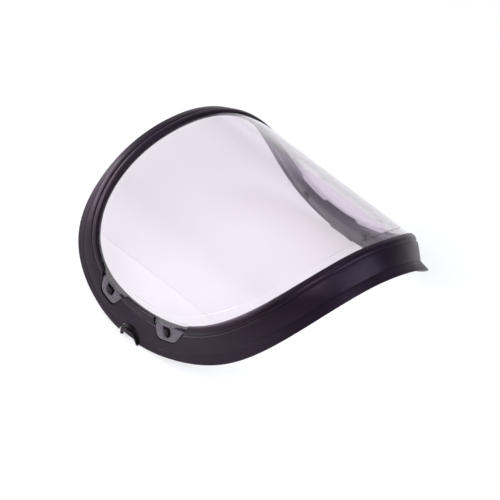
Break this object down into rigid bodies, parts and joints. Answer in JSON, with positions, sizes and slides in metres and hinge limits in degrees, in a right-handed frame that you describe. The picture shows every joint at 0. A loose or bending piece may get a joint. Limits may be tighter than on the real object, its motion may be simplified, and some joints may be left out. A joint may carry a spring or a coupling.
{
  "type": "face shield",
  "caption": "Clear wrap-around visor lens held by folded ears and hook studs in a black skirted frame, with a rubber rim and friction pivots at the temples.",
  "frame": {"origin": "middle of the base, under the two pivot saddles that the shield lies on", "axes": "+Z is the way the wearer looks, and up as the shield lies front upwards; +Y is the brow and -Y the chin; X runs from temple to temple"},
  "size_m": [0.2396, 0.2916, 0.1379],
  "materials": {
    "frame_plastic": "satin moulded plastic with a fine spark texture, plum black",
    "rim_rubber": "matte soft rubber",
    "gasket_foam": "matte closed-cell strip",
    "lens_clear": "clear polished sheet with a faint violet tint",
    "film_clear": "thin peel-off film, slightly less glossy than the lens",
    "stud_plastic": "semi-gloss moulded plastic",
    "pivot_plastic": "polished low-friction plastic"
  },
  "bodies": {
    "visor": {"frame_shell": "frame_plastic", "rim_seal_brow": "rim_rubber", "rim_seal_chin": "rim_rubber", "lens_gasket": "gasket_foam", "lens": "lens_clear", "protective_film": "film_clear", "hook_stud_brow_left": "stud_plastic", "hook_stud_brow_right": "stud_plastic", "hook_stud_chin_left": "stud_plastic", "hook_stud_chin_right": "stud_plastic", "pivot_saddle_left": "pivot_plastic", "pivot_saddle_right": "pivot_plastic"},
    "bush_left": {"pivot_bush_left": "pivot_plastic"},
    "bush_right": {"pivot_bush_right": "pivot_plastic"},
    "ear_brow_left": {"lens_ear_brow_left": "lens_clear"},
    "ear_brow_right": {"lens_ear_brow_right": "lens_clear"},
    "ear_chin_left": {"lens_ear_chin_left": "lens_clear"},
    "ear_chin_right": {"lens_ear_chin_right": "lens_clear"}
  },
  "joints": [
    {"name": "pivot_left_turn", "type": "hinge", "parent": "visor", "child": "bush_left", "pos_m": [-0.11843, 0.05326, -0.0026], "axis": [1, 0, 0], "range_deg": [-20, 20]},
    {"name": "pivot_right_turn", "type": "hinge", "parent": "visor", "child": "bush_right", "pos_m": [0.11843, 0.05326, -0.0026], "axis": [1, 0, 0], "range_deg": [-20, 20]},
    {"name": "ear_brow_left_fold", "type": "hinge", "parent": "visor", "child": "ear_brow_left", "pos_m": [-0.11151, 0.08591, 0.03557], "axis": [0.0472, 0.9398, 0.3385], "range_deg": [0, 40], "stiffness_Nm_per_rad": 0.02},
    {"name": "ear_brow_right_fold", "type": "hinge", "parent": "visor", "child": "ear_brow_right", "pos_m": [0.11151, 0.08591, 0.03557], "axis": [0.0472, -0.9398, -0.3385], "range_deg": [0, 40], "stiffness_Nm_per_rad": 0.02},
    {"name": "ear_chin_left_fold", "type": "hinge", "parent": "visor", "child": "ear_chin_left", "pos_m": [-0.11141, 0.00933, 0.03656], "axis": [-0.0407, 0.9613, -0.2726], "range_deg": [0, 40], "stiffness_Nm_per_rad": 0.02},
    {"name": "ear_chin_right_fold", "type": "hinge", "parent": "visor", "child": "ear_chin_right", "pos_m": [0.11141, 0.00933, 0.03656], "axis": [-0.0407, -0.9613, 0.2726], "range_deg": [0, 40], "stiffness_Nm_per_rad": 0.02}
  ],
  "couplings": [
    {"joint": "pivot_right_turn", "follows": "pivot_left_turn", "ratio": 1}
  ]
}
